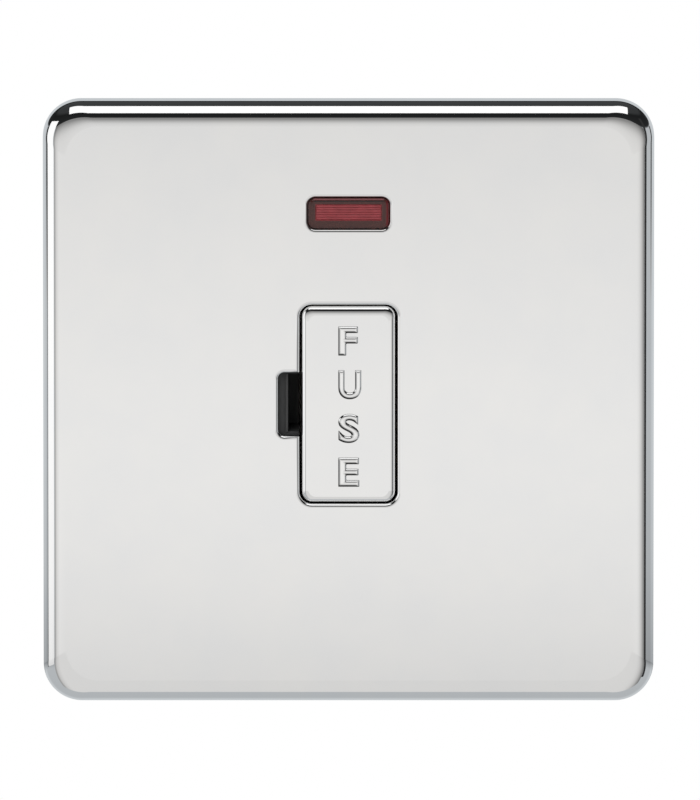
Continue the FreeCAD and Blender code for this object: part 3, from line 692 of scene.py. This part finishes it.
class PressedFront(bpy.types.Operator):
    """Press the plated front from one sheet and pierce its apertures"""
    bl_idname = "spur.pressed_front"
    bl_label = "Pressed front plate"

    def execute(self, context):
        s = context.scene.spur_front
        stretch = s.edge / s.edge_depth
        back = plate_low.y + (plate_high.y - plate_low.y) * stretch
        deep_high = Vector((plate_high.x, back, plate_high.z))
        insets = (s.edge, s.edge, s.edge)
        steps = 24
        sections = rounded_edge(plate_low, deep_high, insets, s.edge, (s.corner, s.face_corner), steps)
        plate = add_loft("plated_front", sections, steps)
        make_sheet(plate, s.wall)

        deep = 20 * MM
        margin = 1 * MM
        drawer_corner = 1.95 * MM
        notch_corner = 1.0 * MM
        window_corner = 1.2 * MM
        window_gap = 0.08 * MM
        grow = Vector((s.gap, deep, s.gap))
        drawer = add_block("drawer_cutter", cap_low - grow, cap_high + grow)
        round_corners(drawer, drawer_corner, 10)
        overlap = 2 * MM
        half = s.notch_height / 2
        edge = cap_low.x - s.gap
        notch = add_block("notch_cutter", (edge - s.notch_width, -deep, cap_middle.z - half),
                          (edge + overlap, deep / 2, cap_middle.z + half))
        round_corners(notch, notch_corner, 8)
        combine(drawer, notch, "UNION")
        combine(plate, drawer, "DIFFERENCE")
        body_half = Vector((lens_half_width + window_gap, deep, lens_half_height + window_gap))
        window = add_block("window_cutter", lens_middle - body_half, lens_middle + body_half)
        round_corners(window, window_corner, 8)
        combine(plate, window, "DIFFERENCE")
        prise_half = 5 * MM
        prise_depth = 1.6 * MM * stretch
        prise_height = 2 * MM
        prise = add_block("prise_cutter", (-prise_half, back - prise_depth, plate_low.z - margin),
                          (prise_half, back + margin, plate_low.z + prise_height))
        combine(plate, prise, "DIFFERENCE")

        border = 8 * MM
        inside = plate_high.x - border
        mesh = edit(plate, "EDGE")
        rims = []
        for edge in mesh.edges:
            inner = all(max(abs(v.co.x), abs(v.co.z)) < inside for v in edge.verts)
            in_front = all(abs(v.co.y - plate_low.y) < SAME_PLANE for v in edge.verts)
            if inner and in_front and len(edge.link_faces) == 2:
                wall, flat = sorted(abs(face.normal.y) for face in edge.link_faces)
                if wall < 1 - FACING and flat > FACING:
                    rims.append(edge)
        pick(mesh, rims)
        bpy.ops.mesh.bevel(offset=s.lip, segments=6, profile=0.5, affect="EDGES")
        leave_edit()
        flatten_depth(plate, plate_low.y, 1.0 / stretch)
        smooth(plate, 40.0, weighted=True)
        finish_piece(plate, "front", chrome_plate(), ["front_plate"])
        return {"FINISHED"}


class DrawerFace(bpy.types.Operator):
    """Form the plated face of the fuse drawer, with a rounded edge"""
    bl_idname = "spur.drawer_face"
    bl_label = "Fuse drawer face"

    def execute(self, context):
        s = context.scene.spur_drawer
        low = Vector((cap_low.x + s.inset, cap_low.y + s.letter_rise, cap_low.z))
        high = Vector((cap_high.x - s.inset, cap_high.y, cap_high.z))
        insets = (s.edge, s.top_edge, s.bottom_edge)
        sections = rounded_edge(low, high, insets, s.edge_depth, (s.corner, s.face_corner), 14)
        face = add_loft("drawer_face", sections, 12)
        make_sheet(face, s.wall)
        smooth(face, 40.0, weighted=True)
        finish_piece(face, "carrier", chrome_plate(), ["fuse_carrier_cap"])
        return {"FINISHED"}


class RaisedCapitals(bpy.types.Operator):
    """Raise the four capitals on the drawer's face"""
    bl_idname = "spur.raised_capitals"
    bl_label = "Raised capitals"

    def capital(self, letter, width, s):
        """One capital in the XY plane, with its left side and its middle at 0 and half of it above."""
        flat_share = 0.01
        voxel = 0.0085
        drop_selection()
        bpy.ops.object.text_add(location=(0, 0, 0))
        text = bpy.context.object
        text.name = "capital_" + letter
        text.data.body = letter
        text.data.size = 1.0
        text.data.offset = s.weight
        text.data.extrude = flat_share
        text.data.bevel_depth = s.dome
        text.data.bevel_resolution = 5
        text.data.resolution_u = 8
        bpy.ops.object.convert(target="MESH")
        apply_modifier(text, "REMESH", mode="VOXEL", voxel_size=voxel)
        apply_modifier(text, "SMOOTH", factor=0.5, iterations=16)
        points = [v.co for v in text.data.vertices]
        low = Vector([min(p[k] for p in points) for k in range(3)])
        high = Vector([max(p[k] for p in points) for k in range(3)])
        size = high - low
        shape = Matrix.Diagonal((width / size.x, s.letter_height / size.y, 2 * s.letter_rise / size.z, 1.0))
        middle = (low + high) / 2
        text.data.transform(shape @ Matrix.Translation((-low.x, -middle.y, -middle.z)))
        return text

    def execute(self, context):
        s = context.scene.spur_drawer
        widths = {"F": 3.08 * MM, "U": 3.6 * MM, "S": 3.3 * MM, "E": 3.3 * MM}
        capitals = [self.capital(letter, widths[letter], s) for letter in "FUSE"]
        base = cap_low.y + s.letter_rise
        above = (len(capitals) - 1) / 2
        for i, letter in enumerate(capitals):
            z = cap_middle.z - s.letter_drop + (above - i) * s.letter_pitch
            place = Matrix.Translation((-s.letter_left, base, z))
            letter.data.transform(place @ Matrix.Rotation(radians(90), 4, "X"))
        join_into(capitals[0], capitals[1:])
        letters = capitals[0]
        letters.name = "raised_capitals"
        smooth(letters, 80.0)
        finish_piece(letters, "carrier", plated_capitals_painted_shading())
        return {"FINISHED"}


class NeonWindow(bpy.types.Operator):
    """Mould the red neon window with its smooth border, sunk ribs and flange"""
    bl_idname = "spur.neon_window"
    bl_label = "Neon window"

    def block(self, name, half_width, half_height, front, back):
        """A block behind the middle of the lens."""
        return add_block(name, (lens_middle.x - half_width, front, lens_middle.z - half_height),
                         (lens_middle.x + half_width, back, lens_middle.z + half_height))

    def execute(self, context):
        s = context.scene.spur_neon
        half = Vector((lens_half_width, 0, lens_half_height))
        face_y = lens_low.y
        sheet = 1.0 * MM
        flange_y = plate_low.y + sheet
        low = Vector((lens_middle.x - half.x, face_y, lens_middle.z - half.z))
        high = Vector((lens_middle.x + half.x, flange_y, lens_middle.z + half.z))
        lift = Vector((0, 0, s.window_rise))
        rim = Vector((s.border, 0, s.border))
        rim_corner = 0.25 * MM
        rim_depth = 0.02 * MM
        slope = 0.12 * MM
        foot = rim + Vector((slope, 0, slope))
        foot_corner = 0.15 * MM
        corners = (s.corner, 0.75 * s.corner)
        sunk_sections = [
            (low + foot + lift, high - foot + lift, face_y + s.sink, foot_corner),
            (low + rim + lift, high - rim + lift, face_y + rim_depth, rim_corner),
        ]
        edge_sections = rounded_edge(low, high, [s.rounding] * 3, s.rounding, corners, 6)
        window = add_loft("neon_window", sunk_sections + edge_sections, 8)

        rib_area = 2 * (half.z - s.border - slope)
        pitch = rib_area / s.ribs
        long_half = half.x - s.border - slope
        z = lens_middle.z + s.window_rise - rib_area / 2 + pitch / 2
        start = (lens_middle.x - long_half, face_y + s.sink, z)
        rib_radius = 0.48 * pitch
        flatness = 0.85
        rib = add_rod("rib", start, rib_radius, 2 * long_half, 24)
        flatten_depth(rib, face_y + s.sink, flatness)
        ribs = [rib] + [copied(rib, "rib", (0, 0, pitch * i)) for i in range(1, s.ribs)]

        flange_depth = 0.8 * MM
        flange_corner = 2.1 * MM
        flange_back = flange_y + flange_depth
        flange = add_block("lens_flange", (lens_low.x, flange_y, lens_low.z),
                           (lens_high.x, flange_back, lens_high.z))
        round_corners(flange, flange_corner, 8)
        open_back(flange, flange_back)

        skirt_half_width = 6.1 * MM
        skirt_corner = 0.9 * MM
        room_half_width = 5.0 * MM
        room_half_height = 1.6 * MM
        skin = 1.2 * MM
        past = lens_high.y + 1 * MM
        skirt = self.block("lens_skirt", skirt_half_width, lens_half_height, flange_y, lens_high.y)
        round_corners(skirt, skirt_corner, 6)
        hollow = self.block("skirt_cutter", room_half_width, room_half_height, face_y + skin, past)
        combine(skirt, hollow, "DIFFERENCE")
        join_into(window, ribs + [flange, skirt])
        smooth(window, 35.0, weighted=True)
        finish_piece(window, "base", red_lens_plastic_painted_light(), ["neon_lens"])
        return {"FINISHED"}


class TerminalScrews(bpy.types.Operator):
    """Turn one threaded, slotted clamp screw and set a copy in each of the six terminals"""
    bl_idname = "spur.terminal_screws"
    bl_label = "Terminal screws"

    def execute(self, context):
        s = context.scene.spur_screws
        low, high = map(Vector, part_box(screw_names[0]))
        r = (high.x - low.x) / 2
        root = r - s.thread_depth
        tip = 0.3 * MM
        tip_inset = 0.65 * MM
        plain_end = 1.4 * MM
        rim = 0.25 * MM
        stations = [(low.y, r - tip_inset), (low.y + tip, root)]
        y = low.y + tip + s.pitch / 2
        while y < high.y - plain_end:
            stations += [(y, r), (y + s.pitch / 2, root)]
            y += s.pitch
        stations += [(y, r), (high.y - rim, r), (high.y, r - rim)]
        screw = add_turned("terminal_screw", stations, 32)
        slot = add_block("slot_cutter", (-2 * r, high.y - s.slot_depth, -s.slot_width / 2),
                         (2 * r, high.y + 1 * MM, s.slot_width / 2))
        combine(screw, slot, "DIFFERENCE")
        broken_edge = 0.06 * MM
        apply_modifier(screw, "BEVEL", width=broken_edge, segments=2, limit_method="ANGLE",
                       angle_limit=radians(50.0), use_clamp_overlap=True)
        smooth(screw, 35.0)
        for name in screw_names:
            node_low, node_high = map(Vector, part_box(name))
            middle = (node_low + node_high) / 2
            copy = copied(screw, "threaded_" + name, (middle.x, 0, middle.z))
            finish_piece(copy, name, screw_steel(), [name])
        drop_selection()
        bpy.data.objects.remove(screw, do_unlink=True)
        return {"FINISHED"}


class NodeFinishes(bpy.types.Operator):
    """Give every carried-over node its finished material"""
    bl_idname = "spur.node_finishes"
    bl_label = "Node finishes"

    def execute(self, context):
        finishes = (
            (black_moulding(), ["sub_plate", "fuse_carrier"]),
            (rear_moulding(), ["terminal_housing"]),
            (zinc_steel(), ["housing_screws"]),
            (lamp_glass(), ["neon_lamp"]),
            (resistor_coat(), ["neon_resistor"]),
            (tinned_wire(), ["neon_leads"]),
            (spring_bronze(), ["upper_jaw", "lower_jaw", "earth_spring"]),
            (rivet_brass(), ["jaw_rivets", "earth_rivet"]),
            (terminal_brass(), ["load_live_terminal", "supply_live_terminal", "neutral_bar", "earth_bar"]),
            (fuse_ceramic(), ["fuse_tube"]),
            (cap_nickel(), ["fuse_cap_upper", "fuse_cap_lower"]),
            (chrome_plate(), ["front_plate", "fuse_carrier_cap"]),
            (red_lens_plastic_painted_light(), ["neon_lens"]),
            (screw_steel(), screw_names),
        )
        for material, nodes in finishes:
            for node in nodes:
                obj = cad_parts[node]
                for slot in obj.material_slots:
                    slot.material = material
                if not obj.material_slots:
                    obj.data.materials.append(material)
        return {"FINISHED"}


def make_glow(obj):
    """Give an object a plain glow, and return its tree and its emission node."""
    material = bpy.data.materials.new(obj.name)
    material.use_nodes = True
    tree = material.node_tree
    tree.nodes.clear()
    glow = tree.nodes.new("ShaderNodeEmission")
    out = tree.nodes.new("ShaderNodeOutputMaterial")
    link(tree, glow, "Emission", out, "Surface")
    obj.data.materials.append(material)
    return tree, glow


def only_in_reflections(obj):
    obj.visible_camera = False
    obj.visible_diffuse = False
    obj.visible_shadow = False
    obj.visible_transmission = False


def graded(tree, source, low, high, stops):
    """A grey ramp over a length, its stops given as (length, level) with levels up to 2."""
    levels = [((place - low) / (high - low), [level / 2] * 3) for place, level in stops]
    return arithmetic(tree, "MULTIPLY", ramp(tree, mapped(tree, source, low, high), levels), 2.0)


def card(name, azimuth, elevation, distance, width, height, level=1.0, fade=()):
    """A studio card that faces the plate, seen only in reflections. The azimuth turns left from the front.
    The fade gives its level by its height, from -0.5 at its foot to 0.5 at its head."""
    drop_selection()
    a = radians(azimuth)
    e = radians(elevation)
    place = Vector((-sin(a) * cos(e), -cos(a) * cos(e), sin(e))) * distance
    bpy.ops.mesh.primitive_plane_add(size=1.0, location=place)
    panel = bpy.context.object
    panel.name = name
    panel.scale = (width, height, 1.0)
    panel.rotation_euler = (-place).to_track_quat("Z", "Y").to_euler()
    tree, glow = make_glow(panel)
    glow.inputs["Strength"].default_value = level
    if fade:
        tree.links.new(graded(tree, place_axis(tree, "Y"), -0.5, 0.5, fade), glow.inputs["Strength"])
    only_in_reflections(panel)


def front_card():
    """The big pale card under the camera, brightest opposite the middle of the plate."""
    drop_selection()
    far = 1.2
    low, high = far * tan(radians(-58.5)), far * tan(radians(23.0))
    left, right = -far * tan(radians(46.0)), far * tan(radians(54.0))
    middle = ((left + right) / 2, -far, (low + high) / 2)
    bpy.ops.mesh.primitive_plane_add(size=1.0, location=middle, rotation=(-pi / 2, 0, 0))
    bpy.context.object.scale = (right - left, high - low, 1.0)
    panel = settle("front_card")
    tree, glow = make_glow(panel)
    place = tree.nodes.new("ShaderNodeTexCoord")
    away = tree.nodes.new("ShaderNodeVectorMath")
    away.operation = "MULTIPLY"
    away.inputs[1].default_value = (1 / far, 1 / far, 0.0)
    link(tree, place, "Object", away, 0)
    reach = tree.nodes.new("ShaderNodeVectorMath")
    reach.operation = "LENGTH"
    tree.links.new(away.outputs[0], reach.inputs[0])
    rise = arithmetic(tree, "DIVIDE", place_axis(tree, "Z"), reach.outputs["Value"])
    upright = graded(tree, rise, low, high, [
        (low, 0.69), (-0.2935, 0.7), (-0.2864, 0.736), (-0.2761, 0.782), (-0.2637, 0.823), (-0.2492, 0.848),
        (-0.2347, 0.848), (-0.2203, 0.827), (-0.2058, 0.806), (-0.1934, 0.782), (-0.18, 0.76),
        (-0.1686, 0.735), (-0.13, 0.725), (-0.05, 0.705), (0.02, 0.67), (0.08, 0.62), (0.15, 0.54),
        (0.22, 0.45), (0.29, 0.365), (0.35, 0.29), (0.4, 0.245), (0.461, 0.27), (0.5, 0.18)])
    across = graded(tree, place_axis(tree, "X"), left, right, [
        (left, 0.45), (-1.12, 0.5), (-0.97, 0.78), (-0.84, 0.88), (-0.72, 0.94), (-0.61, 1.0), (0.5, 0.985),
        (0.61, 0.96), (0.72, 0.92), (0.81, 0.855), (0.94, 0.76), (1.12, 0.6), (1.29, 0.43), (1.54, 0.29),
        (right, 0.2)])
    tree.links.new(arithmetic(tree, "MULTIPLY", upright, across), glow.inputs["Strength"])
    glow.inputs["Color"].default_value = (1.0, 0.995, 0.985, 1.0)
    only_in_reflections(panel)


def left_softbox():
    """The white card at the left, a little greyer towards its foot."""
    card("left_softbox", 66.4, 3, 1.0, 0.627, 0.89, fade=[
        (-0.5, 0.72), (-0.334, 0.8), (-0.3298, 0.85), (-0.3213, 0.91), (-0.3088, 0.95), (-0.294, 0.98),
        (-0.279, 1.02), (-0.25, 1.05), (0.5, 1.05)])


def corner_shade(name, azimuth, width):
    """A dark card beside the plate, greyer at its foot; the plate's edge shows it below the top corner."""
    card(name, azimuth, 3.0, 1.05, width, 0.47, fade=[
        (-0.5, 0.47), (-0.4753, 0.22), (-0.4594, 0.07), (-0.4513, 0.014), (0.5, 0.014)])


def studio_tent():
    """The walls of the studio: grey with a darker foot, and dark from a little above the horizon."""
    drop_selection()
    size = 3.0
    bpy.ops.mesh.primitive_uv_sphere_add(segments=64, ring_count=48, radius=size, location=(0, 0, 0))
    tent = bpy.context.object
    tent.name = "studio_tent"
    bpy.ops.object.shade_smooth()
    tree, glow = make_glow(tent)
    height = graded(tree, place_axis(tree, "Z"), -size, size, [
        (-size, 0.5), (-1.2, 0.52), (-0.85, 0.36), (-0.665, 0.25), (-0.6407, 0.285), (-0.6356, 0.315),
        (-0.6285, 0.375), (-0.618, 0.43), (-0.6, 0.495), (-0.57, 0.52), (0.1 * size, 0.52),
        (0.245 * size, 0.5), (0.275 * size, 0.07), (0.31 * size, 0.02), (0.6 * size, 0.013),
        (0.7 * size, 0.04), (size, 0.045)])
    depth = graded(tree, place_axis(tree, "Y"), -size, size, [
        (-size, 0.95), (0.1 * size, 0.95), (0.45 * size, 1.18), (size, 1.18)])
    tree.links.new(arithmetic(tree, "MULTIPLY", height, depth), glow.inputs["Strength"])
    glow.inputs["Color"].default_value = (0.952, 1.0, 1.037, 1.0)
    only_in_reflections(tent)


def area_light(name, place, size, power):
    drop_selection()
    bpy.ops.object.light_add(type="AREA", location=place)
    lamp = bpy.context.object
    lamp.name = name
    lamp.data.shape = "RECTANGLE"
    lamp.data.size = size[0]
    lamp.data.size_y = size[1]
    lamp.data.energy = power
    lamp.rotation_euler = (-Vector(place)).to_track_quat("-Z", "Y").to_euler()
    lamp.visible_glossy = False


def background(tree, colour, strength):
    node = tree.nodes.new("ShaderNodeBackground")
    node.inputs["Color"].default_value = (*colour, 1.0)
    node.inputs["Strength"].default_value = strength
    return node.outputs[0]


def shader_mix(tree, factor, a, b):
    """Two shaders mixed by a factor, all three given as sockets."""
    node = tree.nodes.new("ShaderNodeMixShader")
    for i, socket in enumerate((factor, a, b)):
        tree.links.new(socket, node.inputs[i])
    return node.outputs[0]


def studio_world(scene):
    """A soft pale world that the camera and clear pieces see white, and polished ones grey."""
    world = scene.world or bpy.data.worlds.new("Studio")
    scene.world = world
    world.use_nodes = True
    tree = world.node_tree
    tree.nodes.clear()
    out = tree.nodes.new("ShaderNodeOutputWorld")
    plain = background(tree, (0.95, 0.97, 1.0), 0.55)
    shine = background(tree, (0.62, 0.64, 0.66), 1.0)
    white = background(tree, (1.0, 1.0, 1.0), 1.0)
    path = tree.nodes.new("ShaderNodeLightPath").outputs
    lit = shader_mix(tree, path["Is Glossy Ray"], plain, shine)
    seen = arithmetic(tree, "MAXIMUM", path["Is Camera Ray"], path["Is Transmission Ray"])
    tree.links.new(shader_mix(tree, seen, lit, white), out.inputs["Surface"])


def studio_floor():
    """A pale floor, white to the camera and clear from below."""
    drop_selection()
    floor_height = -0.35
    bpy.ops.mesh.primitive_plane_add(size=6.0, location=(0, 0, floor_height))
    floor = bpy.context.object
    floor.name = "studio_floor"
    material, tree, shader = new_material("studio_floor")
    shader.inputs["Base Color"].default_value = (0.85, 0.85, 0.85, 1.0)
    shader.inputs["Roughness"].default_value = 0.8
    seen = tree.nodes.new("ShaderNodeLightPath").outputs["Is Camera Ray"]
    glow = tree.nodes.new("ShaderNodeEmission").outputs[0]
    under = tree.nodes.new("ShaderNodeNewGeometry").outputs["Backfacing"]
    clear = tree.nodes.new("ShaderNodeBsdfTransparent").outputs[0]
    top = shader_mix(tree, seen, shader.outputs[0], glow)
    tree.links.new(shader_mix(tree, under, top, clear), tree.nodes["Material Output"].inputs["Surface"])
    floor.data.materials.append(material)
    floor.visible_glossy = False


def studio_camera(s):
    """The camera at the photograph's viewing angle, far off, with the plate at the photograph's size."""
    drop_selection()
    e = s.elevation
    a = s.azimuth
    toward = Vector((sin(a) * cos(e), -cos(a) * cos(e), sin(e)))
    aim = Vector((0.00023, -0.0048, 0.000635))
    bpy.ops.object.camera_add(location=aim + toward * s.distance)
    camera = bpy.context.object
    camera.name = "studio_camera"
    camera.rotation_euler = (-toward).to_track_quat("-Z", "Y").to_euler()
    image_height = 800
    pixels_a_millimetre = 6.43
    frame_height = image_height / pixels_a_millimetre * MM
    camera.data.sensor_width = 36.0
    camera.data.lens = camera.data.sensor_width * s.distance / frame_height
    camera.data.clip_start = 0.01
    camera.data.clip_end = 50.0
    return camera


class Studio(bpy.types.Operator):
    """Set the floor, the soft lights, the reflection cards and the camera"""
    bl_idname = "spur.studio"
    bl_label = "Studio"

    def execute(self, context):
        scene = context.scene
        scene.view_settings.view_transform = "Standard"
        studio_world(scene)
        studio_floor()

        studio_tent()
        front_card()
        card("overhead_softbox", 0, 62.5, 1.0, 1.03, 0.736, 1.1)
        left_softbox()
        card("right_flag", -60, -2, 1.05, 0.18, 1.4, 0.03)
        card("left_flag", 85.9, 3, 1.02, 0.075, 0.93, 0.02)
        corner_shade("left_shade", 90.5, 0.2)
        corner_shade("right_shade", -100.3, 0.19)

        area_light("key_soft", (-0.8, -1.6, 1.3), (1.2, 1.2), 26.0)
        area_light("fill_soft", (1.2, -1.4, 0.5), (1.2, 1.2), 12.0)
        area_light("rear_soft", (0.6, 1.6, 0.9), (1.4, 1.0), 11.0)
        scene.camera = studio_camera(scene.spur_stage)
        return {"FINISHED"}


class SpurPanel(bpy.types.Panel):
    """Lists the steps and their settings in the sidebar"""
    bl_idname = "VIEW3D_PT_fused_spur"
    bl_label = "Fused spur unit"
    bl_space_type = "VIEW_3D"
    bl_region_type = "UI"
    bl_category = "Fused spur"

    def draw(self, context):
        for step in STEPS:
            self.layout.operator(step.bl_idname)
        for name, group in SETTINGS.items():
            column = self.layout.column(align=True)
            for setting in group.__annotations__:
                column.prop(getattr(context.scene, name), setting)


STEPS = (NodeFinishes, PressedFront, DrawerFace, RaisedCapitals, NeonWindow, TerminalScrews, Studio)
SETTINGS = {"spur_finish": FinishSettings, "spur_front": FrontPlateSettings, "spur_drawer": DrawerSettings,
            "spur_neon": NeonSettings, "spur_screws": ScrewSettings, "spur_stage": StageSettings}


def register():
    for name, group in SETTINGS.items():
        bpy.utils.register_class(group)
        setattr(bpy.types.Scene, name, bpy.props.PointerProperty(type=group))
    for step in STEPS + (SpurPanel,):
        bpy.utils.register_class(step)


def unregister():
    for step in STEPS + (SpurPanel,):
        bpy.utils.unregister_class(step)
    for name, group in SETTINGS.items():
        delattr(bpy.types.Scene, name)
        bpy.utils.unregister_class(group)


def main():
    register()
    bpy.ops.spur.node_finishes()
    bpy.ops.spur.pressed_front()
    bpy.ops.spur.drawer_face()
    bpy.ops.spur.raised_capitals()
    bpy.ops.spur.neon_window()
    bpy.ops.spur.terminal_screws()
    bpy.ops.spur.studio()


if __name__ == "__main__":
    main()
